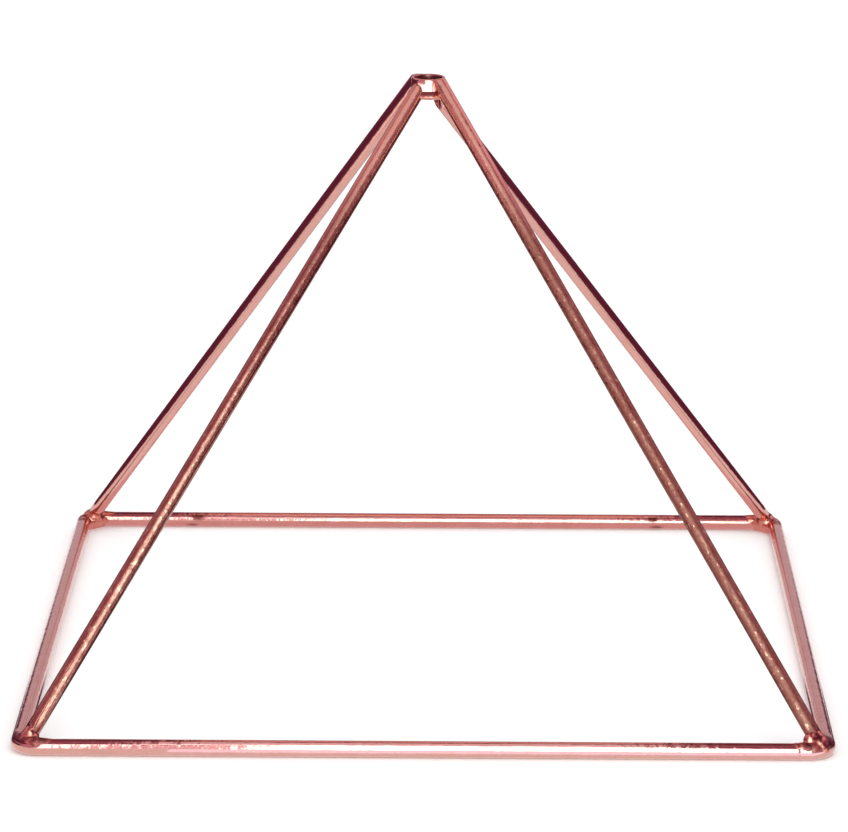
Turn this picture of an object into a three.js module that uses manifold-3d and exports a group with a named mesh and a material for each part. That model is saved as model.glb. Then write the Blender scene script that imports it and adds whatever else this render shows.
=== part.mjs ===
// Open pyramid frame of round copper rod. One rod is bent into the square base, four slanting rods rise
// from its corners, and their coped upper ends are brazed to a short tube collar that forms the flat top.
// Millimetres, +Z up. The origin is the middle of the base, on the surface that the frame stands on.

import * as THREE from 'three';
import { mergeVertices } from 'three/addons/utils/BufferGeometryUtils.js';
import Module from 'manifold-3d';

const wasm = await Module();
wasm.setup();

// Frame
const baseSide = 250; // between the centre lines of opposite sides of the base
const frameHeight = 189.4; // from the surface to the collar's top rim
const baseRodDiameter = 5.1;
const slantingRodDiameter = 4.8;
const cornerBend = 6; // radius of the base rod's centre line at a corner

// The base rod's two ends meet on the front side, beside the front right corner
const meetingDistance = 9; // from the sharp corner of the centre lines to the meeting
const meetingGap = 0.3;

// Collar at the top: a short piece of copper tube
const collarDiameter = 11;
const collarWall = 1;
const collarHeight = 6.8;
const rimRounding = 0.4;

// Each rod is brazed to the collar at its own height: from the top rim down to where its axis meets the wall
const frontLeftDrop = 5;
const frontRightDrop = 1.7;
const backRightDrop = 8.2;
const backLeftDrop = 2;

// Braze at the corners: a lump round the slanting rod's foot, and a lower web inside the bend
const smallLumpReach = 3.2; // level radius, at the front left and the back right
const middleLumpReach = 3.6; // at the back left
const largeLumpReach = 4.1; // at the front right
const lumpHeight = 2.8; // upright radius
const lumpInset = 2.2; // from the middle of the bend towards the inside
const lumpRise = 1.9; // above the base's centre lines
const webReach = 3.2; // half length, towards the inside
const webWidth = 4.8; // half width, across
const webHeight = 2.1; // upright radius
const webInset = 3; // from the middle of the bend towards the inside
const seamLumpLength = 3.6; // half length of a third lump, over the meeting of the base rod's ends
const seamLumpWidth = 2.6; // half width of that lump
const seamLumpHeight = 2.4; // upright radius
const seamLumpInset = 2; // from the base rod's centre line towards the inside
const seamLumpRise = 1; // above the base's centre lines
const seamLumpDistance = 7; // from the sharp corner of the centre lines to the lump's middle

// Braze round the collar's foot: one bead between each two rods
const beadHeight = 2.7;
const beadDepth = 1.3; // how far a bead stands out from the collar
const beadFoot = 0.2; // from the collar's lower rim to the bead's lower edge
const beadSpread = THREE.MathUtils.degToRad(84); // turn about the collar's axis, before the rods cut it

const brazeClearance = 0.3; // between any two pieces that braze joins
const cutterOverrun = 20; // how far a cutting shape runs past what it cuts

// Facets
const rodSides = 24;
const bendSteps = 8;
const collarSides = 48;
const rimSteps = 3;
const lumpSides = 20;
const lumpRings = 14;
const beadSteps = 8;

const baseRodRadius = baseRodDiameter / 2;
const slantingRodRadius = slantingRodDiameter / 2;
const collarRadius = collarDiameter / 2;
const collarFoot = frameHeight - collarHeight;
const quarterTurn = Math.PI / 2;
const eighthTurn = quarterTurn / 2;
const bendCentreReach = (baseSide / 2 - cornerBend) * Math.SQRT2; // from the pyramid's axis
const bendMiddleReach = bendCentreReach + cornerBend;

const copperRod = new THREE.MeshStandardMaterial({ color: 0xc98474, roughness: 0.2, metalness: 1 });
const copperTube = new THREE.MeshStandardMaterial({ color: 0xcf8b78, roughness: 0.22, metalness: 1 });
const braze = new THREE.MeshStandardMaterial({ color: 0xb9705c, roughness: 0.3, metalness: 1 });

// A closed geometry as a solid that can be joined and cut
function solidFrom(geometry) {
  const bare = geometry.index ? geometry.toNonIndexed() : geometry.clone();
  bare.deleteAttribute('normal');
  bare.deleteAttribute('uv');
  const merged = mergeVertices(bare);
  return new wasm.Manifold(new wasm.Mesh({
    numProp: 3,
    vertProperties: new Float32Array(merged.attributes.position.array),
    triVerts: new Uint32Array(merged.index.array),
  }));
}

function geometryFrom(solid) {
  const { vertProperties, triVerts } = solid.getMesh();
  const geometry = new THREE.BufferGeometry();
  geometry.setAttribute('position', new THREE.BufferAttribute(vertProperties, 3));
  geometry.setIndex(new THREE.BufferAttribute(triVerts, 1));
  geometry.computeVertexNormals();
  return geometry;
}

// The largest body that a cut leaves, without the slivers beside it
function largestBody(solid) {
  return solid.decompose().reduce((largest, body) => (body.volume() > largest.volume() ? body : largest));
}

function namedMesh(name, geometry, material) {
  const mesh = new THREE.Mesh(geometry, material);
  mesh.name = name;
  return mesh;
}

// The corner radius of a regular polygon whose flats lie at the given radius
function cornerRadius(flatRadius, sides) {
  return flatRadius / Math.cos(Math.PI / sides);
}

// A path that is sampled only at the stations given, so that its straight runs stay one step long
class StationPath extends THREE.Curve {
  constructor(stations) {
    super();
    this.stations = stations;
  }

  stationAt(share) {
    return this.stations[Math.round(share * (this.stations.length - 1))];
  }

  getPointAt(share) {
    return this.stationAt(share).point.clone();
  }

  getTangentAt(share) {
    return this.stationAt(share).tangent.clone();
  }
}

// Stations round the bend of the base rod at the corner that lies at the given turn about the axis
function bendStations(turn) {
  const centre = new THREE.Vector3(Math.cos(turn), Math.sin(turn), 0).multiplyScalar(bendCentreReach);
  const stations = [];
  for (let step = 0; step <= bendSteps; step += 1) {
    const angle = turn - eighthTurn + (quarterTurn * step) / bendSteps;
    const outward = new THREE.Vector3(Math.cos(angle), Math.sin(angle), 0);
    stations.push({
      point: outward.clone().multiplyScalar(cornerBend).add(centre).setZ(baseRodRadius),
      tangent: new THREE.Vector3(-outward.y, outward.x, 0),
    });
  }
  return stations;
}

// The base rod, from its first end on the front side round all four corners to its second end
function baseRodGeometry(radius, gap) {
  const alongFront = new THREE.Vector3(1, 0, 0);
  const meeting = new THREE.Vector3(baseSide / 2 - meetingDistance, -baseSide / 2, baseRodRadius);
  const stations = [{ point: meeting.clone().addScaledVector(alongFront, gap / 2), tangent: alongFront }];
  for (let corner = 0; corner < 4; corner += 1) {
    stations.push(...bendStations(quarterTurn * corner - eighthTurn));
  }
  stations.push({ point: meeting.clone().addScaledVector(alongFront, -gap / 2), tangent: alongFront });

  // A flat of the rod lies level underneath, where the frame rests
  const section = [];
  for (let side = 0; side < rodSides; side += 1) {
    const angle = ((side + 0.5) * 2 * Math.PI) / rodSides;
    const reach = cornerRadius(radius, rodSides);
    section.push(new THREE.Vector2(Math.cos(angle) * reach, Math.sin(angle) * reach));
  }
  return new THREE.ExtrudeGeometry(new THREE.Shape(section), {
    steps: stations.length - 1,
    extrudePath: new StationPath(stations),
    bevelEnabled: false,
  });
}

// A slanting rod whose corner lies along +X. Its axis runs from the middle of the bend through the
// collar's wall, at the drop below the top rim, to the pyramid's axis.
function slantingRodGeometry(radius, drop, overrun) {
  const foot = new THREE.Vector3(bendMiddleReach, 0, baseRodRadius);
  const atWall = new THREE.Vector3(collarRadius, 0, frameHeight - drop);
  const direction = atWall.clone().sub(foot);
  const top = foot.clone().addScaledVector(direction, foot.x / (foot.x - atWall.x));
  direction.normalize();
  const start = foot.clone().addScaledVector(direction, -overrun);
  const reach = cornerRadius(radius, rodSides);
  const geometry = new THREE.CylinderGeometry(reach, reach, start.distanceTo(top), rodSides);
  geometry.applyQuaternion(new THREE.Quaternion().setFromUnitVectors(new THREE.Vector3(0, 1, 0), direction));
  return geometry.translate(...start.clone().add(top).divideScalar(2).toArray());
}

// What a rod's upper end is coped to: the collar's wall with its clearance, and the level of the top rim
function apexCutter() {
  const reach = cornerRadius(collarRadius + brazeClearance, collarSides);
  const wall = new THREE.CylinderGeometry(reach, reach, collarHeight + 2 * cutterOverrun, collarSides);
  wall.rotateX(quarterTurn).translate(0, 0, collarFoot + collarHeight / 2);
  const above = new THREE.BoxGeometry(cutterOverrun * 2, cutterOverrun * 2, cutterOverrun);
  above.translate(0, 0, frameHeight + cutterOverrun / 2);
  return solidFrom(wall).add(solidFrom(above));
}

// Braze at a corner that lies along +X, cut clear of the base rod and of the slanting rod's foot
function cornerFilletSolid({ drop, turn, reach, holdsMeeting }) {
  const lump = new THREE.SphereGeometry(1, lumpSides, lumpRings);
  lump.scale(reach, reach, lumpHeight);
  lump.translate(bendMiddleReach - lumpInset, 0, baseRodRadius + lumpRise);
  const web = new THREE.SphereGeometry(1, lumpSides, lumpRings);
  web.scale(webReach, webWidth, webHeight);
  web.translate(bendMiddleReach - webInset, 0, baseRodRadius);
  let solid = solidFrom(lump).add(solidFrom(web));
  if (holdsMeeting) {
    const seamLump = new THREE.SphereGeometry(1, lumpSides, lumpRings);
    seamLump.scale(seamLumpLength, seamLumpWidth, seamLumpHeight);
    const alongFront = baseSide / 2 - seamLumpDistance;
    seamLump.translate(alongFront, seamLumpInset - baseSide / 2, baseRodRadius + seamLumpRise);
    solid = solid.add(solidFrom(seamLump.rotateZ(-turn)));
  }
  const base = baseRodGeometry(baseRodRadius + brazeClearance, 0).rotateZ(-turn);
  const rod = slantingRodGeometry(slantingRodRadius + brazeClearance, drop, slantingRodDiameter);
  return largestBody(solid.subtract(solidFrom(base)).subtract(solidFrom(rod)));
}

// The collar stands on its lower rim at the origin, with both rims rounded on the outside
function collarGeometry() {
  const bore = collarRadius - collarWall;
  const lower = [];
  for (let step = 0; step <= rimSteps; step += 1) {
    const angle = (quarterTurn * step) / rimSteps;
    const reach = collarRadius - rimRounding * (1 - Math.sin(angle));
    lower.push(new THREE.Vector2(reach, rimRounding * (1 - Math.cos(angle))));
  }
  const upper = lower.map((point) => new THREE.Vector2(point.x, collarHeight - point.y)).reverse();
  const inner = [new THREE.Vector2(bore, collarHeight), new THREE.Vector2(bore, 0)];
  const profile = [...lower, ...upper, ...inner, lower[0].clone()];
  return new THREE.LatheGeometry(profile, collarSides).rotateX(quarterTurn);
}

// A ring of half-round braze against the collar's wall, at the collar's foot
function beadRingGeometry() {
  const inner = collarRadius + brazeClearance;
  const profile = [];
  for (let step = 0; step <= beadSteps; step += 1) {
    const angle = (Math.PI * step) / beadSteps;
    const level = beadFoot + (beadHeight / 2) * (1 - Math.cos(angle));
    profile.push(new THREE.Vector2(inner + beadDepth * Math.sin(angle), level));
  }
  profile.push(profile[0].clone());
  return new THREE.LatheGeometry(profile, collarSides).rotateX(quarterTurn);
}

// A wedge about the pyramid's axis, centred on +X, that keeps one bead's share of the ring
function beadWedgeGeometry() {
  const reach = collarRadius + cutterOverrun;
  const halfSpread = beadSpread / 2;
  const outline = new THREE.Shape([
    new THREE.Vector2(0, 0),
    new THREE.Vector2(Math.cos(halfSpread), -Math.sin(halfSpread)).multiplyScalar(reach),
    new THREE.Vector2(Math.cos(halfSpread), Math.sin(halfSpread)).multiplyScalar(reach),
  ]);
  return new THREE.ExtrudeGeometry(outline, { depth: collarHeight, bevelEnabled: false });
}

// The bead between two slanting rods, in the collar's own frame, with the middle of the bead on +X
function collarBeadSolid(dropBefore, dropAfter) {
  let solid = solidFrom(beadRingGeometry()).intersect(solidFrom(beadWedgeGeometry()));
  [[dropBefore, -eighthTurn], [dropAfter, eighthTurn]].forEach(([drop, turn]) => {
    const rod = slantingRodGeometry(slantingRodRadius + brazeClearance, drop, slantingRodDiameter);
    solid = solid.subtract(solidFrom(rod.rotateZ(turn).translate(0, 0, -collarFoot)));
  });
  return solid;
}

// The corners in turn about the axis, each with its rod's drop below the rim and its braze lump's reach
const corners = [
  { name: 'front_left', drop: frontLeftDrop, reach: smallLumpReach },
  { name: 'front_right', drop: frontRightDrop, reach: largeLumpReach, holdsMeeting: true },
  { name: 'back_right', drop: backRightDrop, reach: smallLumpReach },
  { name: 'back_left', drop: backLeftDrop, reach: middleLumpReach },
].map((corner, place) => ({ ...corner, turn: quarterTurn * place - 3 * eighthTurn }));

const frame = new THREE.Group();
frame.add(namedMesh('base_rod', baseRodGeometry(baseRodRadius, meetingGap), copperRod));

corners.forEach((corner) => {
  const cornerGroup = new THREE.Group();
  cornerGroup.rotation.z = corner.turn;
  const base = baseRodGeometry(baseRodRadius + brazeClearance, 0).rotateZ(-corner.turn);
  const rod = solidFrom(slantingRodGeometry(slantingRodRadius, corner.drop, 0));
  const coped = rod.subtract(solidFrom(base)).subtract(apexCutter());
  cornerGroup.add(namedMesh(`slanting_rod_${corner.name}`, geometryFrom(coped), copperRod));
  cornerGroup.add(namedMesh(`corner_braze_${corner.name}`, geometryFrom(cornerFilletSolid(corner)), braze));
  frame.add(cornerGroup);
});

const apex = new THREE.Group();
apex.position.z = collarFoot;
apex.add(namedMesh('apex_collar', collarGeometry(), copperTube));

// One bead in each gap, named after the side of the base that it faces
['front', 'right', 'back', 'left'].forEach((side, gap) => {
  const before = corners[gap];
  const after = corners[(gap + 1) % corners.length];
  const solid = collarBeadSolid(before.drop, after.drop);
  const bead = namedMesh(`collar_braze_${side}`, geometryFrom(solid), braze);
  bead.rotation.z = before.turn + eighthTurn;
  apex.add(bead);
});
frame.add(apex);

export default frame;
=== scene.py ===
"""Looks of an open pyramid frame of polished copper rod, brazed at its corners and its collar."""

import logging
import math
from dataclasses import dataclass, field
from enum import Enum

import bmesh
import bpy
from mathutils import Matrix, Vector, noise


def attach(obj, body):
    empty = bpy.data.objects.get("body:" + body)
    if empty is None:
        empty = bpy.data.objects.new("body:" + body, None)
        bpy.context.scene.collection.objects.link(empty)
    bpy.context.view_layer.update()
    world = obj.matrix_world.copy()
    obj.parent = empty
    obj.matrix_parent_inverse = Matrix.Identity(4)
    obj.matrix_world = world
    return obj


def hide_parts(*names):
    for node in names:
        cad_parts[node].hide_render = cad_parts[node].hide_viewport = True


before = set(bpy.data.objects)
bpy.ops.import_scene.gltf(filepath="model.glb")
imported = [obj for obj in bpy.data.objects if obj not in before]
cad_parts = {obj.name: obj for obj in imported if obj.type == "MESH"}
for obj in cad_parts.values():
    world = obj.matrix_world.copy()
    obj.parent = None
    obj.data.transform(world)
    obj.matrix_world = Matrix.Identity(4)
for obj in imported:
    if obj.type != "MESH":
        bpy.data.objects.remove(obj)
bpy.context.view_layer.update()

LOG = logging.getLogger("pyramid_frame")
PLACE = "rod_place"  # a rod's own coordinates: along it, and across it both ways
STAIN_AND_SHADE = "torch_stain_and_painted_shade"  # how deep a place's torch stain and painted shade are
MM = 0.001

# The copper's patterns: their sizes in millimetres, and the parts of the noise that they take
PATCH_MM, PATCH_RANGE = 5.0, (0.35, 0.70)
SPECK_MM, SPECK_RANGE = 1.1, (0.42, 0.72)
FLECK_MM, FLECK_RANGE, FLECK_ROUGHNESS = 1.5, (0.61, 0.70), 0.12
GRAIN_MM = 0.6
POLISH_RANGE, POLISH_SPREAD = (0.35, 0.60), (0.6, 1.2)  # how a finish's own roughness varies
DRAWN_STRETCH, EVEN_STRETCH = (0.8, 1.0, 1.0), (1.0, 1.0, 1.0)
UPPER_END_COPPER, UPPER_END_ROUGHNESS, UPPER_END_FADE_MM = "dfa28c", 0.24, 45.0
# Wine red for the torch's stains and for painted shade, and its roughness
WINE_STAIN_AND_SHADE, STAIN_AND_SHADE_ROUGHNESS = "6b2431", 0.34
# The painted shade at small dents: its colour, its stretch along the rod and its full-strength core
DENT_SHADE_COLOUR, DENT_SHRINK, DENT_CORE = "6a2a1d", (0.45, 1.0, 1.0), 0.3
MIX_SOCKETS = {"FLOAT": (2, 3, 0), "RGBA": (6, 7, 2)}  # a mix node's two inputs and its output


class Direction(Enum):
    """Directions about the pyramid's axis, in eighths of a turn from +X."""

    @property
    def label(self) -> str:
        """The direction's name in the names of its pieces."""
        return self.name.lower()

    @property
    def turn(self) -> float:
        """The direction's turn in radians."""
        return self.value * math.pi / 4


class Corner(Direction):
    """The base's corners."""

    FRONT_LEFT = -3
    FRONT_RIGHT = -1
    BACK_RIGHT = 1
    BACK_LEFT = 3


class Side(Direction):
    """The base's sides."""

    FRONT = -2
    RIGHT = 0
    BACK = 2
    LEFT = 4


class Slot(Enum):
    """The record's material slots."""

    COPPER_ROD = "copper_rod"
    COPPER_TUBE = "copper_tube"
    BRAZE = "braze"


def linear(code: str) -> tuple[float, float, float, float]:
    """Turns an sRGB hex colour into linear values.

    Args:
        code: The colour, such as "c98474".

    Returns:
        Red, green, blue and an alpha of one.
    """
    parts = [int(code[i:i + 2], 16) / 255 for i in (0, 2, 4)]
    values = [p / 12.92 if p <= 0.04045 else ((p + 0.055) / 1.055) ** 2.4 for p in parts]
    return (values[0], values[1], values[2], 1.0)


def clear_tree(name: str) -> tuple[bpy.types.Material, bpy.types.NodeTree]:
    """Makes a material with an empty node tree.

    Args:
        name: The material's name.

    Returns:
        The material and its tree.
    """
    material = bpy.data.materials.new(name)
    material.use_nodes = True
    material.node_tree.nodes.clear()
    return material, material.node_tree


def add_node(tree: bpy.types.NodeTree, kind: str, settings: dict | None = None,
             **inputs: object) -> bpy.types.Node:
    """Adds a node with its settings, its values and its links.

    Args:
        tree: The node tree it goes in.
        kind: The node's type name, without the leading "ShaderNode".
        settings: The node's own properties by name.
        **inputs: A value or an output socket for each input, by its name with underscores for
            spaces, or by "input_" and its number.

    Returns:
        The node.
    """
    node = tree.nodes.new("ShaderNode" + kind)
    for name, value in (settings or {}).items():
        setattr(node, name, value)
    for name, value in inputs.items():
        key = int(name[6:]) if name.startswith("input_") else name.replace("_", " ")
        if isinstance(value, bpy.types.NodeSocket):
            tree.links.new(value, node.inputs[key])
        else:
            node.inputs[key].default_value = value
    return node


def calculate(tree: bpy.types.NodeTree, kind: str, operation: str,
              *values: object) -> bpy.types.NodeSocket:
    """Adds a node that works on its first inputs, in order.

    Args:
        tree: The node tree.
        kind: "Math" or "VectorMath".
        operation: What it does.
        *values: A value or an output socket for each input.

    Returns:
        Its first output.
    """
    inputs = {f"input_{number}": value for number, value in enumerate(values)}
    return add_node(tree, kind, {"operation": operation}, **inputs).outputs[0]


def ramp(tree: bpy.types.NodeTree, value: bpy.types.NodeSocket, first: float, last: float,
         low: float = 0.0, high: float = 1.0, soft: bool = False) -> bpy.types.NodeSocket:
    """Maps a value between two places onto a range and holds it at the range's ends.

    Args:
        tree: The node tree.
        value: The value.
        first: The place that gives the low end.
        last: The place that gives the high end.
        low: The range's start.
        high: The range's end.
        soft: True for an easy start and end.

    Returns:
        The mapped value.
    """
    shape = {"interpolation_type": "SMOOTHSTEP" if soft else "LINEAR"}
    return add_node(tree, "MapRange", shape, input_0=value, input_1=float(first),
                    input_2=float(last), input_3=low, input_4=high).outputs[0]


def blend(tree: bpy.types.NodeTree, kind: str, share: bpy.types.NodeSocket, first: object,
          second: object) -> bpy.types.NodeSocket:
    """Mixes two numbers or two colours.

    Args:
        tree: The node tree.
        kind: "FLOAT" for numbers, "RGBA" for colours.
        share: How much of the second there is.
        first: The first value or its socket.
        second: The second value or its socket.

    Returns:
        The mixture.
    """
    before, after, result = MIX_SOCKETS[kind]
    inputs = {f"input_{before}": first, f"input_{after}": second}
    return add_node(tree, "Mix", {"data_type": kind}, input_0=share, **inputs).outputs[result]


def clouds(tree: bpy.types.NodeTree, place: bpy.types.NodeSocket, size_mm: float, detail: float,
           roughness: float = 0.5) -> bpy.types.NodeSocket:
    """Adds cloudy noise.

    Args:
        tree: The node tree.
        place: Where on the piece it is read.
        size_mm: The clouds' size in millimetres.
        detail: How many finer layers it has.
        roughness: How strong the finer layers are.

    Returns:
        The noise, from zero to one.
    """
    return add_node(tree, "TexNoise", Vector=place, Scale=1 / (size_mm * MM), Detail=detail,
                    Roughness=roughness).outputs[0]


@dataclass(frozen=True)
class Spot:
    """A round spot: its middle in the frame and its radius, in millimetres, and how far it goes."""

    x: float
    y: float
    z: float
    radius: float
    depth: float = 0.88

    @property
    def middle(self) -> Vector:
        """The middle in metres."""
        return Vector((self.x, self.y, self.z)) * MM


@dataclass(frozen=True)
class Copper:
    """Copper or braze, polished to a warm mirror that small dents and drawing marks break up."""

    name: str
    colour: str
    worn_colour: str
    roughness: float
    ripple_mm: float
    ripple_height_mm: float
    grain_height_mm: float
    speckle: float
    flecks: float
    fleck_and_glint_colour: str
    drawn: bool
    upper_end_mm: float = 0.0
    stained_and_shaded: bool = False
    dent_shades: tuple[Spot, ...] = ()

    def material(self) -> bpy.types.Material:
        """Builds the material.

        Returns:
            The material, with its pattern in the rod's own coordinates where it is drawn.
        """
        material, tree = clear_tree(self.name)
        surface = add_node(tree, "TexCoord").outputs["Object"]
        place, stretch = surface, EVEN_STRETCH
        if self.drawn:
            place = add_node(tree, "Attribute", {"attribute_name": PLACE}).outputs["Vector"]
            stretch = DRAWN_STRETCH
        scaled = add_node(tree, "Mapping", input_0=place, Scale=stretch).outputs[0]

        # Patches half a centimetre across and more, where handling has dulled the polish and
        # deepened the colour, and specks of a millimetre, where the surface is a little rougher
        patches = clouds(tree, scaled, PATCH_MM, detail=3.0, roughness=0.6)
        specks = clouds(tree, scaled, SPECK_MM, detail=2.0)
        worn = calculate(tree, "Math", "MAXIMUM",
                         ramp(tree, patches, *PATCH_RANGE, high=self.speckle),
                         ramp(tree, specks, *SPECK_RANGE, high=self.speckle))
        colour = blend(tree, "RGBA", worn, linear(self.colour), linear(self.worn_colour))
        rough = ramp(tree, specks, *POLISH_RANGE,
                     *(self.roughness * share for share in POLISH_SPREAD))
        if self.upper_end_mm:
            # Paler and smoother towards the rod's upper end
            along = add_node(tree, "SeparateXYZ", Vector=place).outputs[0]
            upper_end = ramp(tree, along, (self.upper_end_mm - UPPER_END_FADE_MM) * MM, self.upper_end_mm * MM,
                         soft=True)
            colour = blend(tree, "RGBA", upper_end, colour, linear(UPPER_END_COPPER))
            rough = blend(tree, "FLOAT", upper_end, rough, UPPER_END_ROUGHNESS)
        if self.stained_and_shaded:
            # Wine red where the torch has stained the braze and where shade is painted in, and a
            # little rougher there
            stain_and_shade = add_node(tree, "Attribute", {"attribute_name": STAIN_AND_SHADE}).outputs["Fac"]
            colour = blend(tree, "RGBA", stain_and_shade, colour, linear(WINE_STAIN_AND_SHADE))
            rough = blend(tree, "FLOAT", stain_and_shade, rough, STAIN_AND_SHADE_ROUGHNESS)
        for spot in self.dent_shades:
            # Painted shade at a small dent that the bending tool has left: a dark mark in place of
            # the dent's dip in the highlight, longer along the rod than across it
            away = calculate(tree, "VectorMath", "SUBTRACT", surface, spot.middle)
            shrunk = calculate(tree, "VectorMath", "MULTIPLY", away, DENT_SHRINK)
            length = add_node(tree, "VectorMath", {"operation": "LENGTH"}, input_0=shrunk)
            radius = spot.radius * MM
            dent_shade = ramp(tree, length.outputs["Value"], DENT_CORE * radius, radius,
                        low=spot.depth, high=0.0, soft=True)
            colour = blend(tree, "RGBA", dent_shade, colour, linear(DENT_SHADE_COLOUR))

        # Flecks of a millimetre or so where the polish has held: smoother, and painted paler as
        # small painted highlights where the copper flashes
        fleck = ramp(tree, clouds(tree, scaled, FLECK_MM, detail=1.0), *FLECK_RANGE,
                     high=self.flecks)
        colour = blend(tree, "RGBA", fleck, colour, linear(self.fleck_and_glint_colour))
        rough = blend(tree, "FLOAT", fleck, rough, FLECK_ROUGHNESS)

        # Long shallow ripples, and the fine grain that the drawing die or the torch leaves
        ripples = add_node(tree, "Bump", Strength=1.0, Distance=self.ripple_height_mm * MM,
                           Height=clouds(tree, scaled, self.ripple_mm, detail=2.0))
        grains = add_node(tree, "Bump", Strength=1.0, Distance=self.grain_height_mm * MM,
                          Height=clouds(tree, scaled, GRAIN_MM, detail=3.0, roughness=0.6),
                          Normal=ripples.outputs[0])
        shader = add_node(tree, "BsdfPrincipled", Base_Color=colour, Metallic=1.0, Roughness=rough,
                          Normal=grains.outputs[0])
        add_node(tree, "OutputMaterial", Surface=shader.outputs[0])
        return material


# Drawn copper rod, polished: a pinkish mirror whose long soft dents scallop its highlights, with
# painted shade at four small dents on the back side
POLISHED_ROD = Copper(
    name="polished_drawn_copper", colour="e8aea4", worn_colour="d99b8c", roughness=0.10,
    ripple_mm=2.6, ripple_height_mm=0.12, grain_height_mm=0.004, speckle=0.5, flecks=0.0,
    fleck_and_glint_colour="e8aea4", drawn=True,
    dent_shades=(Spot(-83.8, 122.8, 3.9, 1.6), Spot(-85.9, 122.6, 0.7, 1.5, depth=0.6),
           Spot(80.7, 122.8, 3.9, 1.4), Spot(82.2, 122.6, 0.7, 1.6, depth=0.7)))
# The front left rod's drawn copper, less polished: muted, finely mottled, with small flecks painted
# bright as glints
MUTED_ROD = Copper(
    name="muted_drawn_copper", colour="b57b6d", worn_colour="965a50", roughness=0.22,
    ripple_mm=1.8, ripple_height_mm=0.10, grain_height_mm=0.014, speckle=1.0, flecks=0.8,
    fleck_and_glint_colour="c99a88", drawn=True, upper_end_mm=226.0)
# The front right rod's drawn copper, duller still, with scattered specks painted bright as glints
DULL_ROD = Copper(
    name="dull_drawn_copper", colour="a56c5e", worn_colour="93574c", roughness=0.52,
    ripple_mm=1.8, ripple_height_mm=0.12, grain_height_mm=0.020, speckle=1.0, flecks=0.9,
    fleck_and_glint_colour="b98573", drawn=True, upper_end_mm=226.0)
# Copper tube, cut and polished: a little paler and smoother than the rod, with painted shade inside
# its bore
CUT_TUBE = Copper(
    name="polished_copper_tube", colour="e4aaa0", worn_colour="d39486", roughness=0.12,
    ripple_mm=3.0, ripple_height_mm=0.02, grain_height_mm=0.003, speckle=0.4, flecks=0.0,
    fleck_and_glint_colour="e4aaa0", drawn=False, stained_and_shaded=True)
# Copper braze as it ran and cooled: redder, lumpy, finely pitted, with torch stains and painted
# shade in places
COOLED_BRAZE = Copper(
    name="cooled_copper_braze", colour="e6a08e", worn_colour="ca7a67", roughness=0.20,
    ripple_mm=2.4, ripple_height_mm=0.08, grain_height_mm=0.006, speckle=0.8, flecks=0.0,
    fleck_and_glint_colour="e6a08e", drawn=False, stained_and_shaded=True)


def mesh_of(name: str, bm: bmesh.types.BMesh, material: bpy.types.Material | None = None,
            smooth: bool = False) -> bpy.types.Mesh:
    """Makes a mesh of a bmesh and frees the bmesh.

    Args:
        name: The mesh's name.
        bm: The shape.
        material: Its finish, if it has one.
        smooth: True to shade every face smoothly.

    Returns:
        The mesh.
    """
    mesh = bpy.data.meshes.new(name)
    bm.to_mesh(mesh)
    bm.free()
    if smooth:
        mesh.polygons.foreach_set("use_smooth", [True] * len(mesh.polygons))
    if material:
        mesh.materials.append(material)
    return mesh


def link(name: str, mesh: bpy.types.ID) -> bpy.types.Object:
    """Puts an object in the scene.

    Args:
        name: The object's name.
        mesh: Its mesh, lamp or camera.

    Returns:
        The object.
    """
    thing = bpy.data.objects.new(name, mesh)
    bpy.context.scene.collection.objects.link(thing)
    return thing


def finished(name: str, bm: bmesh.types.BMesh, material: bpy.types.Material,
             nodes: list[str]) -> bpy.types.Object:
    """Makes a piece of a bmesh and sets it in the frame in place of its CAD nodes.

    Args:
        name: The piece's name.
        bm: The shape, in metres and in place. It is freed.
        material: The piece's finish.
        nodes: The CAD nodes that the piece stands for.

    Returns:
        The piece.
    """
    piece = link(name, mesh_of(name, bm, material, smooth=True))
    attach(piece, "root")
    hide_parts(*nodes)
    LOG.info("%s: %d faces", name, len(piece.data.polygons))
    return piece


def round_off(bm: bmesh.types.BMesh, edges: list[bmesh.types.BMEdge], offset: float,
              segments: int) -> None:
    """Rounds edges off.

    Args:
        bm: The shape.
        edges: The edges.
        offset: How far from the edge the rounding starts.
        segments: How many facets it has.
    """
    bmesh.ops.bevel(bm, geom=edges, offset=offset, segments=segments, profile=0.5,
                    affect="EDGES", material=-1)


def extruded(bm: bmesh.types.BMesh, edges: list[bmesh.types.BMEdge],
             ) -> tuple[list[bmesh.types.BMVert], list[bmesh.types.BMEdge]]:
    """Extrudes a ring of edges without moving it.

    Args:
        bm: The shape.
        edges: The ring's edges.

    Returns:
        The new ring's vertices and its edges.
    """
    out = bmesh.ops.extrude_edge_only(bm, edges=edges)["geom"]
    verts = [item for item in out if isinstance(item, bmesh.types.BMVert)]
    ring = set(verts)
    rim = [item for item in out if isinstance(item, bmesh.types.BMEdge)
           and item.verts[0] in ring and item.verts[1] in ring]
    return verts, rim


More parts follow.
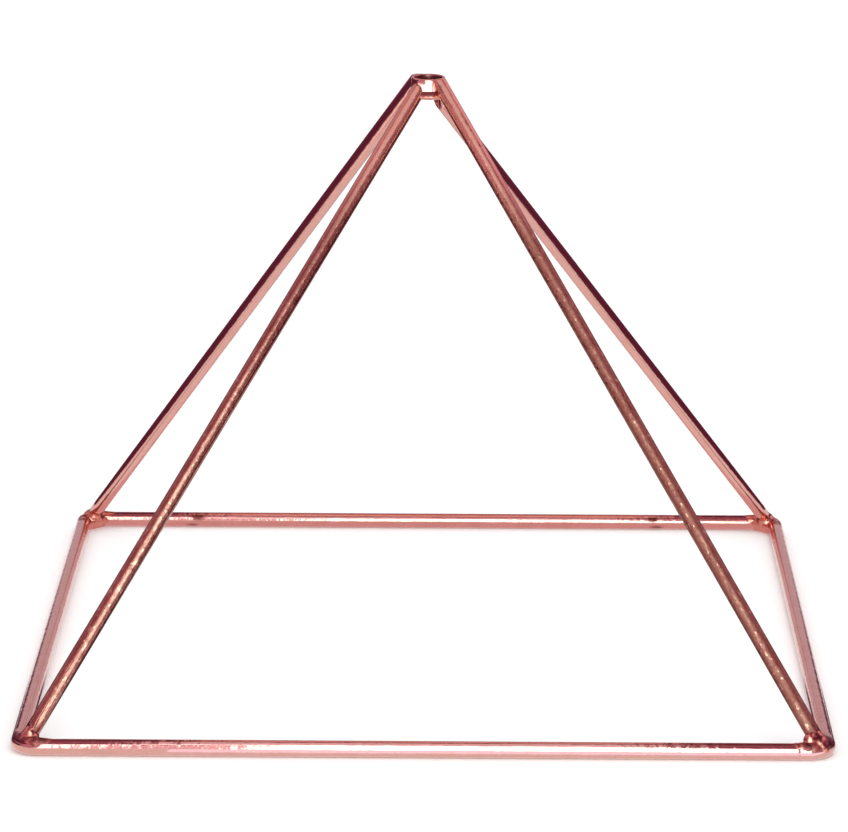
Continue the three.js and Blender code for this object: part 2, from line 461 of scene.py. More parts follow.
def sweep(bm: bmesh.types.BMesh, radius: float, sides: int, stations: list[Matrix],
          ) -> tuple[list[bmesh.types.BMEdge], list[bmesh.types.BMEdge]]:
    """Sweeps a circle through stations by extruding one ring after another.

    Args:
        bm: Where the tube goes, empty but for the vertex layer of the rod's own coordinates.
        radius: The tube's radius.
        sides: How many sides the circle has.
        stations: Frames along the path, each with its Z axis along the path.

    Returns:
        The edges of the first ring and of the last one.
    """
    layer = bm.verts.layers.float_vector[PLACE]
    verts = bmesh.ops.create_circle(bm, segments=sides, radius=radius, matrix=stations[0])["verts"]
    first = edges = bm.edges[:]
    along = 0.0

    def note(ring: list[bmesh.types.BMVert], here: Matrix, distance: float) -> None:
        """Writes a ring's own coordinates.

        Args:
            ring: The ring's vertices.
            here: Its frame.
            distance: How far along the rod it is.
        """
        back = here.inverted()
        for vert in ring:
            local = back @ vert.co
            vert[layer] = Vector((distance, local.x, local.y))

    note(verts, stations[0], along)
    for before, after in zip(stations, stations[1:]):
        verts, edges = extruded(bm, edges)
        bmesh.ops.transform(bm, matrix=after @ before.inverted(), verts=verts)
        along += (after.translation - before.translation).length
        note(verts, after, along)
    return first, edges


def station(place: Vector, tangent: Vector, side: Vector) -> Matrix:
    """Makes a frame for a sweep.

    Args:
        place: The frame's origin.
        tangent: Its Z axis, a unit vector.
        side: Its X axis, a unit vector across the tangent.

    Returns:
        The frame.
    """
    across = tangent.cross(side)
    turn = Matrix((side, across, tangent)).transposed()
    return Matrix.Translation(place) @ turn.to_4x4()


def new_bmesh() -> bmesh.types.BMesh:
    """Makes an empty bmesh with layers for a rod's own coordinates and for the torch's stain and
    painted shade.

    Returns:
        The bmesh.
    """
    bm = bmesh.new()
    bm.verts.layers.float_vector.new(PLACE)
    bm.verts.layers.float.new(STAIN_AND_SHADE)
    return bm


def soft_step(value: float, low: float, high: float) -> float:
    """Rises smoothly from zero at one value to one at another, which may be the lower one.

    Args:
        value: Where it is read.
        low: Where it is zero.
        high: Where it is one.

    Returns:
        The height of the step there.
    """
    share = max(0.0, min(1.0, (value - low) / (high - low)))
    return share * share * (3 - 2 * share)


@dataclass(frozen=True)
class CornerPlan:
    """What sets a corner apart: its rod's height on the collar, its braze's lumps, and its spots of
    torch stain and painted shade.
    """

    drop: float
    reach: float
    lumps: tuple[Spot, ...]
    stains_and_shades: tuple[Spot, ...]


# Each corner's stain spots are torch stains together with painted shade on darker faces of the
# braze and its run-out
PLANS = {
    Corner.FRONT_LEFT: CornerPlan(
        drop=5 * MM, reach=3.2 * MM,
        lumps=(Spot(-121.6, -122.3, 6.0, 1.9), Spot(-121.8, -122.9, 4.4, 1.9)),
        stains_and_shades=(Spot(-126.2, -123.6, 3.8, 4.0), Spot(-124.4, -126.0, 3.6, 3.2),
                Spot(-118.0, -126.4, 4.0, 4.0, depth=0.6))),
    Corner.FRONT_RIGHT: CornerPlan(
        drop=1.7 * MM, reach=4.1 * MM,
        lumps=(Spot(119.5, -123.0, 5.6, 2.3), Spot(122.3, -123.6, 4.3, 2.4),
               Spot(123.2, -124.0, 3.4, 2.3), Spot(119.4, -124.3, 3.4, 2.4)),
        stains_and_shades=(Spot(125.4, -124.4, 5.2, 2.7), Spot(125.4, -122.0, 5.0, 2.8),
                Spot(121.5, -123.6, 6.7, 1.9), Spot(123.5, -120.0, 6.0, 2.8),
                Spot(118.2, -126.4, 4.0, 2.2))),
    Corner.BACK_RIGHT: CornerPlan(
        drop=8.2 * MM, reach=3.2 * MM,
        lumps=(Spot(120.4, 121.8, 6.4, 1.8), Spot(122.8, 121.4, 2.7, 1.5)),
        stains_and_shades=(Spot(122.4, 120.2, 4.4, 1.2), Spot(118.0, 121.6, 4.6, 1.2))),
    Corner.BACK_LEFT: CornerPlan(
        drop=2 * MM, reach=3.6 * MM,
        lumps=(Spot(-123.8, 122.8, 4.3, 1.7), Spot(-121.5, 121.6, 4.7, 1.7)),
        stains_and_shades=(Spot(-122.4, 120.6, 4.0, 1.3), Spot(-117.6, 121.8, 4.6, 1.3))),
}


@dataclass
class BaseLoop:
    """The base: one rod bent at four corners, whose ends meet on the front side."""

    side: float = 250 * MM
    rod_radius: float = 2.55 * MM
    bend_radius: float = 6 * MM
    meeting_distance: float = 9 * MM
    meeting_gap: float = 0.01 * MM
    end_rounding: float = 0.04 * MM
    sides: int = 48
    bend_steps: int = 14
    straight_steps: int = 10
    end_share: float = 0.004

    @property
    def bend_middle_reach(self) -> float:
        """How far the middle of a bend lies from the pyramid's axis."""
        return (self.side / 2 - self.bend_radius) * math.sqrt(2) + self.bend_radius

    def bend_stations(self, turn: float) -> list[Matrix]:
        """Frames round one bend.

        Args:
            turn: The corner's direction about the pyramid's axis.

        Returns:
            The frames, from the bend's start to its end.
        """
        reach = (self.side / 2 - self.bend_radius) * math.sqrt(2)
        centre = Vector((math.cos(turn) * reach, math.sin(turn) * reach, self.rod_radius))
        frames = []
        for step in range(self.bend_steps + 1):
            angle = turn - math.pi / 4 + math.pi / 2 * step / self.bend_steps
            outward = Vector((math.cos(angle), math.sin(angle), 0))
            tangent = Vector((-outward.y, outward.x, 0))
            frames.append(station(centre + outward * self.bend_radius, tangent, outward))
        return frames

    def stations(self) -> list[Matrix]:
        """Frames along the whole rod, with steps along its straight runs.

        Returns:
            The frames, from one end of the rod to the other.
        """
        meeting = Vector((self.side / 2 - self.meeting_distance, -self.side / 2, self.rod_radius))
        along, outward = Vector((1, 0, 0)), Vector((0, -1, 0))
        frames = [station(meeting + along * self.meeting_gap / 2, along, outward)]
        for corner in (Corner.FRONT_RIGHT, Corner.BACK_RIGHT, Corner.BACK_LEFT, Corner.FRONT_LEFT):
            frames += self.run(frames[-1], self.bend_stations(corner.turn))
        last = station(meeting - along * self.meeting_gap / 2, along, outward)
        return frames + self.run(frames[-1], [last])

    def run(self, last: Matrix, following: list[Matrix]) -> list[Matrix]:
        """Adds the steps of a straight run, one close to each end so that it shades as straight.

        Args:
            last: The frame that the run starts from.
            following: The frames after the run.

        Returns:
            The run's inner frames and the following ones.
        """
        inner = []
        shares = [step / self.straight_steps for step in range(1, self.straight_steps)]
        for share in [self.end_share, *shares, 1 - self.end_share]:
            frame_here = last.copy()
            frame_here.translation = last.translation.lerp(following[0].translation, share)
            inner.append(frame_here)
        return inner + following

    def build(self, material: bpy.types.Material) -> bpy.types.Object:
        """Builds the base rod.

        Args:
            material: Its finish.

        Returns:
            The piece.
        """
        bm = new_bmesh()
        for ring in sweep(bm, self.rod_radius, self.sides, self.stations()):
            bmesh.ops.contextual_create(bm, geom=ring)
            round_off(bm, ring, self.end_rounding, segments=2)
        bmesh.ops.recalc_face_normals(bm, faces=bm.faces)
        return finished("base_rod_polished", bm, material, ["base_rod"])


@dataclass
class SlantingRod:
    """One rod from a base corner up to the collar, coped to the collar's wall."""

    corner: Corner
    drop: float
    base: BaseLoop
    rod_radius: float = 2.4 * MM
    collar_radius: float = 5.5 * MM
    cope_radius: float = 5.3 * MM
    cope_margin: float = 0.8 * MM
    top: float = 189.4 * MM
    edge_rounding: float = 0.2 * MM
    sides: int = 48
    steps: int = 24

    @property
    def foot(self) -> Vector:
        """Where the rod's axis starts, with its corner along +X."""
        return Vector((self.base.bend_middle_reach, 0, self.base.rod_radius))

    @property
    def direction(self) -> Vector:
        """The rod's direction, with its corner along +X."""
        return (Vector((self.collar_radius, 0, self.top - self.drop)) - self.foot).normalized()

    def cope(self, ring: list[bmesh.types.BMEdge], reach: float) -> None:
        """Slides a ring along the rod onto an upright cylinder about the pyramid's axis.

        Args:
            ring: The ring's edges.
            reach: The cylinder's radius.
        """
        for vert in {vert for edge in ring for vert in edge.verts}:
            wall = math.sqrt(reach ** 2 - vert.co.y ** 2)
            vert.co += self.direction * ((wall - vert.co.x) / self.direction.x)

    def build(self, material: bpy.types.Material) -> bpy.types.Object:
        """Builds the rod, coped and cut flush with the collar's rim where it would stand above it.

        Args:
            material: Its finish.

        Returns:
            The piece.
        """
        bm = new_bmesh()
        direction = self.direction
        side = Vector((0, 1, 0))
        length = (self.foot.x - 2 * self.collar_radius) / -direction.x
        frames = [station(self.foot + direction * length * step / self.steps, direction, side)
                  for step in range(self.steps + 1)]
        first, last = sweep(bm, self.rod_radius, self.sides, frames)
        bmesh.ops.contextual_create(bm, geom=first)
        self.cope(last, self.cope_radius + self.cope_margin)
        last = extruded(bm, last)[1]
        self.cope(last, self.cope_radius)
        bmesh.ops.contextual_create(bm, geom=last)
        cut = bmesh.ops.bisect_plane(bm, geom=bm.verts[:] + bm.edges[:] + bm.faces[:],
                                     plane_co=(0, 0, self.top), plane_no=(0, 0, 1),
                                     clear_outer=True)
        rim = [item for item in cut["geom_cut"] if isinstance(item, bmesh.types.BMEdge)]
        if rim:
            bmesh.ops.contextual_create(bm, geom=rim)
            round_off(bm, rim, self.edge_rounding, segments=3)
        bmesh.ops.recalc_face_normals(bm, faces=bm.faces)
        bmesh.ops.transform(bm, matrix=Matrix.Rotation(self.corner.turn, 4, "Z"), verts=bm.verts)
        name = f"slanting_rod_{self.corner.label}"
        return finished(name + "_polished", bm, material, [name])


@dataclass
class Collar:
    """The short tube at the top, with rounded rims."""

    radius: float = 5.5 * MM
    wall: float = 1 * MM
    height: float = 6.8 * MM
    top: float = 189.4 * MM
    rounding: float = 0.46 * MM
    bore_painted_shade: float = 0.65
    level_within: float = 0.001 * MM
    sides: int = 96

    def build(self, material: bpy.types.Material) -> bpy.types.Object:
        """Builds the collar by spinning its wall's section.

        Args:
            material: Its finish.

        Returns:
            The piece.
        """
        bm = new_bmesh()
        foot = self.top - self.height
        section = [(self.radius, foot), (self.radius, self.top),
                   (self.radius - self.wall, self.top), (self.radius - self.wall, foot)]
        verts = [bm.verts.new((reach, 0, level)) for reach, level in section]
        edges = [bm.edges.new((verts[i], verts[(i + 1) % len(verts)])) for i in range(len(verts))]
        bmesh.ops.spin(bm, geom=verts + edges, cent=(0, 0, 0), axis=(0, 0, 1), angle=2 * math.pi,
                       steps=self.sides, use_merge=True)
        rims = [edge for edge in bm.edges if self.is_rim(*(vert.co for vert in edge.verts))]
        round_off(bm, rims, self.rounding, segments=4)
        bmesh.ops.recalc_face_normals(bm, faces=bm.faces)
        # Painted shade in the bore: the inner wall and the inner half of the rims darkened
        layer = bm.verts.layers.float[STAIN_AND_SHADE]
        for vert in bm.verts:
            depth = self.radius - vert.co.xy.length
            vert[layer] = self.bore_painted_shade * soft_step(depth, self.wall / 2, self.wall)
        return finished("apex_collar_polished", bm, material, ["apex_collar"])

    def is_rim(self, first: Vector, second: Vector) -> bool:
        """Tells whether an edge runs level round the collar.

        Args:
            first: The edge's one end.
            second: Its other end.

        Returns:
            True where the ends agree in height and in distance from the axis.
        """
        return (abs(first.z - second.z) < self.level_within
                and abs(first.xy.length - second.xy.length) < self.level_within)


@dataclass
class Braze:
    """Braze that has run into a joint: lumps and thin skins on the rods, melted into one body."""

    voxel: float = 0.24 * MM
    smoothing: int = 16
    waver: float = 0.12 * MM
    waver_size: float = 1.7 * MM
    clearance: float = 0.02 * MM
    relaxing: float = 0.5
    stain_and_shade_waver: float = 0.9 * MM
    stain_and_shade_waver_size: float = 1.3 * MM
    ball_sides: tuple[int, int] = (32, 20)
    skin_sides: int = 40

    def add_ball(self, bm: bmesh.types.BMesh, place: Vector,
                 radii: tuple[float, float, float]) -> None:
        """Adds a stretched ball.

        Args:
            bm: Where it goes.
            place: Its middle.
            radii: Its radii along X, Y and Z.
        """
        round_it, up_it = self.ball_sides
        bmesh.ops.create_uvsphere(bm, u_segments=round_it, v_segments=up_it, radius=1,
                                  matrix=Matrix.Translation(place) @ Matrix.Diagonal((*radii, 1)))

    def add_skin(self, bm: bmesh.types.BMesh, start: Vector, end: Vector, near: float,
                 far: float) -> None:
        """Adds a tapered skin along a rod.

        Args:
            bm: Where it goes.
            start: The middle of its thick end.
            end: The middle of its thin end.
            near: The radius at the thick end.
            far: The radius at the thin end.
        """
        run = end - start
        turn = run.to_track_quat("Z", "Y").to_matrix().to_4x4()
        matrix = Matrix.Translation((start + end) / 2) @ turn
        bmesh.ops.create_cone(bm, cap_ends=True, segments=self.skin_sides, radius1=near,
                              radius2=far, depth=run.length, matrix=matrix)

    def melted(self, bm: bmesh.types.BMesh) -> bmesh.types.BMesh:
        """Melts overlapping closed shapes into one smooth body with a slightly uneven surface.

        Args:
            bm: The shapes. It is freed.

        Returns:
            The body.
        """
        block = link("melt", mesh_of("melt", bm))
        mesh = block.data
        remesh = block.modifiers.new("melt", "REMESH")
        remesh.mode = "VOXEL"
        remesh.voxel_size = self.voxel
        relax = block.modifiers.new("relax", "SMOOTH")
        relax.factor = self.relaxing
        relax.iterations = self.smoothing
        depsgraph = bpy.context.evaluated_depsgraph_get()
        body = bpy.data.meshes.new_from_object(block.evaluated_get(depsgraph))
        out = new_bmesh()
        out.from_mesh(body)
        out.normal_update()
        for vert in out.verts:
            vert.co += vert.normal * (self.waver * noise.noise(vert.co / self.waver_size))
        bpy.data.objects.remove(block)
        bpy.data.meshes.remove(mesh)
        bpy.data.meshes.remove(body)
        return out


@dataclass(kw_only=True)
class CornerBraze(Braze):
    """The braze round one slanting rod's foot."""

    rod: SlantingRod
    plan: CornerPlan
    lump_height: float = 2.8 * MM
    lump_inset: float = 2.2 * MM
    lump_rise: float = 1.9 * MM
    web: tuple[float, float, float] = (4.4 * MM, 12 * MM, 3.9 * MM)
    web_inset: float = 2.5 * MM
    web_lean: float = math.radians(-30)
    stain_and_shade_core: float = 0.6
    skin: float = 0.16 * MM
    skin_length: float = 7 * MM
    run_out: float = 5 * MM

    def build(self, material: bpy.types.Material) -> bpy.types.Object:
        """Builds the braze in its corner.

        Args:
            material: Its finish.

        Returns:
            The piece.
        """
        bm = bmesh.new()
        rod, base = self.rod, self.rod.base
        foot, direction = rod.foot, rod.direction
        self.add_ball(bm, foot + Vector((-self.lump_inset, 0, self.lump_rise)),
                      (self.plan.reach, self.plan.reach, self.lump_height))
        place = Matrix.Translation(foot - Vector((self.web_inset, 0, 0)))
        lean = Matrix.Rotation(self.web_lean, 4, "Y")
        bmesh.ops.create_cube(bm, size=1, matrix=place @ lean @ Matrix.Diagonal((*self.web, 1)))
        self.add_skin(bm, foot, foot + direction * self.skin_length,
                      rod.rod_radius + 3 * self.skin, rod.rod_radius - self.skin)
        inward = Vector((-2 * self.skin, 0, 2 * self.skin))
        bend = [frame_here.translation + inward for frame_here in base.bend_stations(0.0)]
        thick = base.rod_radius + self.skin
        for start, end in zip(bend, bend[1:]):
            self.add_skin(bm, start, end, thick, thick)
        for end, before in ((bend[0], bend[1]), (bend[-1], bend[-2])):
            out = end + (end - before).normalized() * self.run_out
            self.add_skin(bm, end, out, thick, base.rod_radius - 2 * self.skin)
        for lump in self.plan.lumps:
            place = Matrix.Rotation(-rod.corner.turn, 4, "Z") @ lump.middle
            self.add_ball(bm, place, (lump.radius * MM,) * 3)
        body = self.melted(bm)
        turn = Matrix.Rotation(rod.corner.turn, 4, "Z")
        bmesh.ops.transform(body, matrix=turn, verts=body.verts)
        limit = base.side / 2 + base.rod_radius - self.clearance
        for vert in body.verts:
            across = (max(-limit, min(limit, value)) for value in vert.co.xy)
            vert.co = Vector((*across, max(self.clearance, vert.co.z)))
        self.stain_and_shade(body)
        name = f"corner_braze_{rod.corner.label}"
        return finished(name + "_run", body, material, [name])

    def stain_and_shade(self, body: bmesh.types.BMesh) -> None:
        """Writes the torch's stains and painted shade on the braze, in spots with uneven edges.

        Args:
            body: The braze's shape.
        """
        layer = body.verts.layers.float[STAIN_AND_SHADE]
        for vert in body.verts:
            uneven = self.stain_and_shade_waver * noise.noise(vert.co / self.stain_and_shade_waver_size)
            vert[layer] = max(
                spot.depth * soft_step((vert.co - spot.middle).length + uneven,
                                       spot.radius * MM, self.stain_and_shade_core * spot.radius * MM)
                for spot in self.plan.stains_and_shades)


@dataclass(kw_only=True)
class CollarBraze(Braze):
    """The braze round the collar's foot, cut in four behind the rods."""

    collar: Collar
    painted_shade_rise: tuple[float, float] = (1.2 * MM, 2.0 * MM)
    deepest_painted_shade: float = 0.85
    bead_height: float = 2.7 * MM
    bead_depth: float = 1.3 * MM
    bead_foot: float = 0.2 * MM
    ridge: float = 0.95 * MM
    undercut: float = 1.1 * MM
    sunk: float = 0.5 * MM
    bead_top: float = 0.1 * MM
    steps: int = 72
    smoothing: int = 5

    def build(self, material: bpy.types.Material) -> list[bpy.types.Object]:
        """Builds the four beads.

        Args:
            material: Their finish.

        Returns:
            The pieces.
        """
        bm = bmesh.new()
        foot = self.collar.top - self.collar.height
        low, high = foot + self.bead_foot, foot + self.bead_foot + self.bead_height
        core, out = self.collar.radius - self.sunk, self.collar.radius + self.bead_depth
        outline = ((core, low), (out - self.undercut, low), (out, low + self.ridge),
                   (self.collar.radius + self.bead_top, high), (core, high))
        verts = [bm.verts.new((reach, 0, level)) for reach, level in outline]
        edges = [bm.edges.new((verts[i - 1], verts[i])) for i in range(len(verts))]
        bmesh.ops.spin(bm, geom=verts + edges, cent=(0, 0, 0), axis=(0, 0, 1), angle=2 * math.pi,
                       steps=self.steps, use_merge=True)
        bmesh.ops.recalc_face_normals(bm, faces=bm.faces)
        body = self.melted(bm)
        # Painted shade on the bead's upper part, for the dark crease between the bead and the
        # collar's wall
        layer = body.verts.layers.float[STAIN_AND_SHADE]
        for vert in body.verts:
            vert[layer] = self.deepest_painted_shade * soft_step(vert.co.z - foot, *self.painted_shade_rise)
        pieces = []
        for side in Side:
            quarter = body.copy()
            for cut in (side.turn - math.pi / 4, side.turn + math.pi / 4):
                away = -1 if cut > side.turn else 1
                normal = Vector((math.sin(cut) * away, -math.cos(cut) * away, 0))
                everything = quarter.verts[:] + quarter.edges[:] + quarter.faces[:]
                made = bmesh.ops.bisect_plane(quarter, geom=everything, plane_co=(0, 0, 0),
                                              plane_no=normal, clear_outer=True)
                rim = [item for item in made["geom_cut"] if isinstance(item, bmesh.types.BMEdge)]
                bmesh.ops.holes_fill(quarter, edges=rim)
            bmesh.ops.recalc_face_normals(quarter, faces=quarter.faces)
            name = f"collar_braze_{side.label}"
            pieces.append(finished(name + "_run", quarter, material, [name]))
        body.free()
        return pieces


@dataclass(frozen=True)
class Patch:
    """A soft-edged rectangle of directions that the reflected room lights, in degrees.

    Azimuth counts to the right of the front, elevation above the horizon.
    """

    azimuths: tuple[float, float]
    elevations: tuple[float, float]
    edge: float
    light: tuple[float, float, float]


ROOM = (
    Patch((-400, 400), (-100, 100), 1, (0.12, 0.028, 0.064)),  # dim walls
    Patch((-400, 400), (-140, -40), 30, (0.45, 0.40, 0.38)),  # the dim floor beyond the table
    Patch((-60, 60), (-60, -8), 14, (0.80, 0.80, 0.80)),  # the table's front
    Patch((-75, 10), (-6, 60), 22, (0.48, 0.28, 0.36)),  # half light on the left of the front
    Patch((10, 60), (-6, 58), 22, (0.32, 0.17, 0.22)),  # half light on its right
    Patch((-98, 98), (36, 66), 20, (0.14, 0.08, 0.10)),  # faint light above both
    Patch((-15, -3), (-12, 40), 6, (0.45, 0.50, 0.52)),  # glow beside the soft box
    Patch((-150, -84), (14, 60), 18, (0.58, 0.42, 0.50)),  # pale wall far on the left
    Patch((84, 150), (14, 60), 18, (0.90, 0.62, 0.80)),  # and far on the right
    Patch((-400, 400), (72, 120), 16, (0.22, 0.10, 0.12)),  # ceiling
)


@dataclass(frozen=True)
class Card:
    """A soft-edged lit card that only reflections show, flat or upright, with sizes in metres."""

    name: str
    middle: tuple[float, float, float]
    size: tuple[float, float]
    edge: float
    light: float
    upright: bool = False
    tint: tuple[float, float, float, float] = (1, 1, 1, 1)

    def material(self) -> bpy.types.Material:
        """Builds the card's glow, fading to nothing at its edges.

        Returns:
            The material.
        """
        material, tree = clear_tree(self.name)
        parts = add_node(tree, "SeparateXYZ", Vector=add_node(tree, "TexCoord").outputs["Object"])
        masks = []
        for axis, span in enumerate(self.size):
            away = calculate(tree, "Math", "ABSOLUTE", parts.outputs[axis])
            masks.append(ramp(tree, away, span / 2, span / 2 - self.edge, soft=True))
        mask = calculate(tree, "Math", "MULTIPLY", *masks)
        clear = add_node(tree, "BsdfTransparent")
        glow = add_node(tree, "Emission", Color=self.tint, Strength=self.light)
        mixed = add_node(tree, "MixShader", input_0=mask, input_1=clear.outputs[0],
                         input_2=glow.outputs[0])
        add_node(tree, "OutputMaterial", Surface=mixed.outputs[0])
        return material

    def build(self) -> bpy.types.Object:
        """Builds the card.

        Returns:
            The card, turned upright where it stands.
        """
        bm = bmesh.new()
        bmesh.ops.create_grid(bm, x_segments=1, y_segments=1, size=0.5,
                              matrix=Matrix.Diagonal((*self.size, 1, 1)))
        card = link(self.name, mesh_of(self.name, bm, self.material()))
        card.location = self.middle
        if self.upright:
            card.rotation_euler = (math.pi / 2, 0, 0)
        return card


# Each card's middle, its width and depth or height, its soft edge's width and its light
CARDS = (
    Card("soft_box", (0.015, -0.325, 0.160), (0.19, 0.44), 0.03, 3.6, upright=True,
         tint=(0.80, 1.15, 1.12, 1)),
    Card("soft_box_low", (0.105, -0.330, 0.095), (0.15, 0.30), 0.03, 3.6, upright=True,
         tint=(0.80, 1.15, 1.12, 1)),
    Card("box_above_front", (-0.008, -0.180, 0.352), (0.23, 0.34), 0.03, 0.90,
         tint=(1, 0.88, 1.0, 1)),
    Card("box_above_back", (0, 0.165, 0.35), (0.23, 0.24), 0.03, 0.95, tint=(0.95, 0.62, 0.58, 1)),
    Card("soft_box_far", (-0.185, -0.60, 0.36), (0.10, 0.78), 0.03, 3.0, upright=True,
         tint=(0.92, 1.04, 1.06, 1)),
    Card("soft_box_spill", (0.13, -0.335, 0.15), (0.30, 0.34), 0.08, 0.6, upright=True),
    Card("table_far_front", (0, -1.37, 0.0002), (4.6, 1.76), 0.10, 3.4),
    Card("table_near_front", (0.03, -0.228, 0.0003), (0.22, 0.20), 0.002, 1.3,
         tint=(1, 1.08, 1.32, 1)),
    Card("pale_table_front", (0, -0.22, 0.0001), (0.38, 0.24), 0.02, 0.9),
    Card("pale_table", (0, 0.10, 0.0001), (0.38, 0.33), 0.03, 0.9),
    # Painted shade: a dimmer rose strip of table by the back rod, for the rod's own shadow on the
    # table in reflections
    Card("painted_shade_by_back_rod", (0, 0.1215, 0.0002), (0.27, 0.036), 0.010, 0.76, tint=(1, 0.71, 0.75, 1)),
    Card("box_far_edge", (-0.008, -0.302, 0.3515), (0.23, 0.10), 0.02, 2.2, tint=(1, 0.98, 1.0, 1)),
    Card("box_behind_back", (0, 0.41, 0.35), (0.25, 0.24), 0.03, 0.75, tint=(1, 0.44, 0.40, 1)),
    Card("sweep_behind", (0, 1.1, 0.15), (1.08, 0.90), 0.14, 0.60, upright=True,
         tint=(1, 0.85, 0.93, 1)),
)


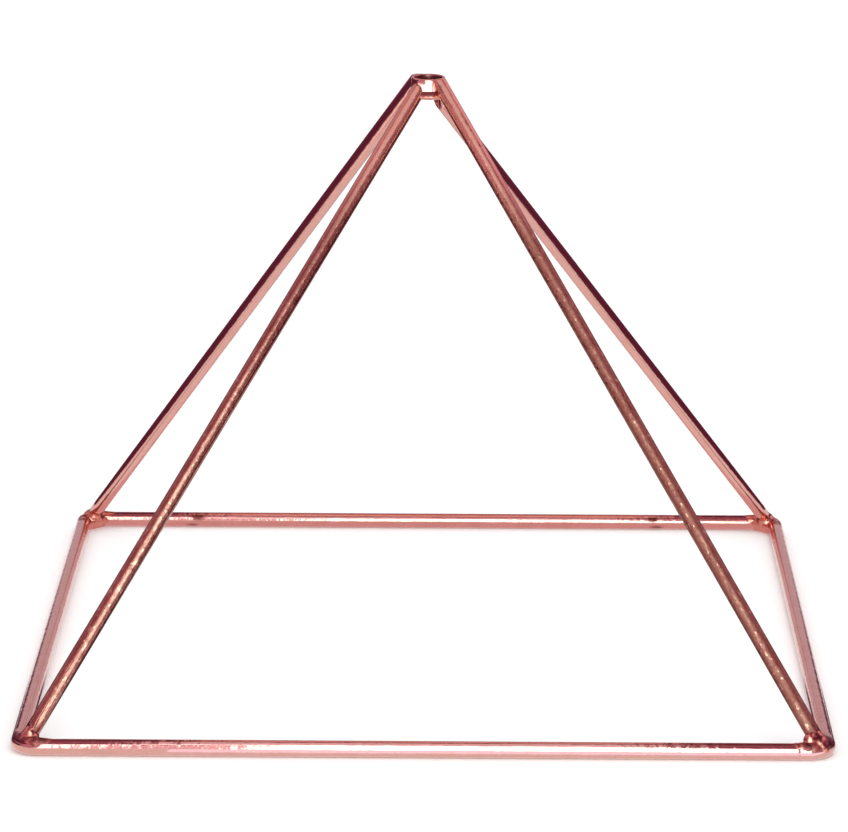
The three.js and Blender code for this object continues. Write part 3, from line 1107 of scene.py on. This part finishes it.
@dataclass
class Studio:
    """A pale floor in a white surround, and a dim lit room that only reflections show."""

    floor_radius: float = 3.0
    floor_sides: int = 96
    room_radius: float = 2.4
    room_sides: tuple[int, int] = (64, 32)
    room_middle: Vector = field(default_factory=lambda: Vector((0, 0, 0.06)))
    camera_place: Vector = field(default_factory=lambda: Vector((0.010883, -1.413405, 0.454528)))
    yaw: float = math.radians(-0.482522)
    pitch: float = math.radians(15.017672)
    roll: float = math.radians(0.190103)
    focal_pixels: float = 4418.22
    image_width: int = 848
    sensor: float = 36.0
    lamp_size: float = 0.8
    lamp_power: float = 4.5
    lamp_place: tuple[float, float, float] = (0.35, -0.7, 1.5)

    def add_floor(self) -> None:
        """Adds the floor, pale, matt and plain."""
        bm = bmesh.new()
        bmesh.ops.create_circle(bm, cap_ends=True, segments=self.floor_sides,
                                radius=self.floor_radius)
        material = bpy.data.materials.new("matt_white_floor")
        material.use_nodes = True
        shader = material.node_tree.nodes["Principled BSDF"]
        shader.inputs["Base Color"].default_value = linear("ffffff")
        shader.inputs["Roughness"].default_value = 1.0
        shader.inputs["Specular IOR Level"].default_value = 0.0
        floor = link("floor", mesh_of("floor", bm, material))
        floor.visible_glossy = False

    def soft_patch(self, tree: bpy.types.NodeTree, azimuth: bpy.types.NodeSocket,
                   elevation: bpy.types.NodeSocket, patch: Patch) -> bpy.types.NodeSocket:
        """Marks a patch's directions.

        Args:
            tree: The node tree.
            azimuth: Degrees to the right of the front.
            elevation: Degrees above the horizon.
            patch: The patch.

        Returns:
            One inside, falling to zero outside.
        """
        result = 1.0
        half = patch.edge / 2
        for angle, (low, high) in ((azimuth, patch.azimuths), (elevation, patch.elevations)):
            for first, last in ((low - half, low + half), (high + half, high - half)):
                inside = ramp(tree, angle, first, last, soft=True)
                result = calculate(tree, "Math", "MULTIPLY", result, inside)
        return result

    def azimuth(self, tree: bpy.types.NodeTree, parts: bpy.types.Node) -> bpy.types.NodeSocket:
        """Works out the azimuth of a direction.

        Args:
            tree: The node tree.
            parts: The direction's parts.

        Returns:
            The azimuth in degrees, counted to the right from the front.
        """
        ahead = calculate(tree, "Math", "MULTIPLY", parts.outputs[1], -1.0)
        turn = calculate(tree, "Math", "ARCTAN2", parts.outputs[0], ahead)
        return calculate(tree, "Math", "DEGREES", turn)

    def add_room(self) -> None:
        """Adds the room that reflections show, lit by its patches."""
        material, tree = clear_tree("dim_room")
        place = add_node(tree, "TexCoord").outputs["Object"]
        way = calculate(tree, "VectorMath", "NORMALIZE", place)
        parts = add_node(tree, "SeparateXYZ", Vector=way)
        rise = calculate(tree, "Math", "ARCSINE", parts.outputs[2])
        elevation = calculate(tree, "Math", "DEGREES", rise)
        azimuth = self.azimuth(tree, parts)
        total = (0.0, 0.0, 0.0)
        for patch in ROOM:
            mask = self.soft_patch(tree, azimuth, elevation, patch)
            lit = add_node(tree, "VectorMath", {"operation": "SCALE"}, input_0=patch.light,
                           Scale=mask).outputs[0]
            total = calculate(tree, "VectorMath", "ADD", total, lit)
        glow = add_node(tree, "Emission", Color=total, Strength=1.0)
        add_node(tree, "OutputMaterial", Surface=glow.outputs[0])
        bm = bmesh.new()
        across, up = self.room_sides
        bmesh.ops.create_uvsphere(bm, u_segments=across, v_segments=up, radius=self.room_radius)
        room = link("reflected_room", mesh_of("reflected_room", bm, material, smooth=True))
        room.location = self.room_middle
        self.only_reflected(room)

    def add_cards(self) -> None:
        """Adds the lit cards."""
        for card in CARDS:
            thing = card.build()
            self.only_reflected(thing)

    def only_reflected(self, thing: bpy.types.Object) -> None:
        """Leaves a stage object to reflections alone.

        Args:
            thing: The object.
        """
        thing.visible_camera = False
        thing.visible_diffuse = False
        thing.visible_transmission = False
        thing.visible_volume_scatter = False
        thing.visible_shadow = False

    def add_world(self) -> None:
        """Surrounds the scene with plain white."""
        world = bpy.data.worlds.new("white_surround")
        bpy.context.scene.world = world
        world.use_nodes = True
        background = world.node_tree.nodes["Background"]
        background.inputs["Color"].default_value = (1, 1, 1, 1)
        background.inputs["Strength"].default_value = 1.0

    def add_lamp(self) -> None:
        """Adds a large soft lamp above the front, for a faint soft shadow."""
        lamp = bpy.data.lights.new("soft_lamp", "AREA")
        lamp.shape = "SQUARE"
        lamp.size = self.lamp_size
        lamp.energy = self.lamp_power
        thing = link("soft_lamp", lamp)
        thing.location = self.lamp_place
        aim = Vector((0, 0, 0)) - thing.location
        thing.rotation_euler = aim.to_track_quat("-Z", "Y").to_euler()
        thing.visible_glossy = False

    def add_camera(self) -> None:
        """Adds the camera at the place and angle of the photograph's."""
        level = math.cos(self.pitch)
        forward = Vector((math.sin(self.yaw) * level, math.cos(self.yaw) * level,
                          -math.sin(self.pitch)))
        right = Vector((math.cos(self.yaw), -math.sin(self.yaw), 0))
        up = right.cross(forward)
        rolled_right = right * math.cos(self.roll) + up * math.sin(self.roll)
        rolled_up = up * math.cos(self.roll) - right * math.sin(self.roll)
        camera = bpy.data.cameras.new("camera")
        camera.sensor_fit = "HORIZONTAL"
        camera.sensor_width = self.sensor
        camera.lens = self.focal_pixels / self.image_width * self.sensor
        thing = link("camera", camera)
        thing.location = self.camera_place
        thing.rotation_euler = Matrix((rolled_right, rolled_up, -forward)).transposed().to_euler()
        bpy.context.scene.camera = thing

    def build(self) -> None:
        """Builds the studio and sets the view."""
        self.add_floor()
        self.add_room()
        self.add_cards()
        self.add_world()
        self.add_lamp()
        self.add_camera()
        bpy.context.scene.view_settings.view_transform = "Standard"


def main() -> None:
    """Builds the pieces in order, then the studio."""
    logging.basicConfig(level=logging.INFO, format="%(message)s")
    rod_finish, muted_finish, dull_finish, tube_finish, braze_finish = (
        finish.material() for finish in (POLISHED_ROD, MUTED_ROD, DULL_ROD, CUT_TUBE, COOLED_BRAZE))
    base = BaseLoop()
    base.build(rod_finish)
    finishes = {Corner.FRONT_LEFT: muted_finish, Corner.FRONT_RIGHT: dull_finish}
    for corner, plan in PLANS.items():
        rod = SlantingRod(corner=corner, drop=plan.drop, base=base)
        rod.build(finishes.get(corner, rod_finish))
        CornerBraze(rod=rod, plan=plan).build(braze_finish)
    collar = Collar()
    collar.build(tube_finish)
    CollarBraze(collar=collar).build(braze_finish)
    Studio().build()


if __name__ == "__main__":
    main()
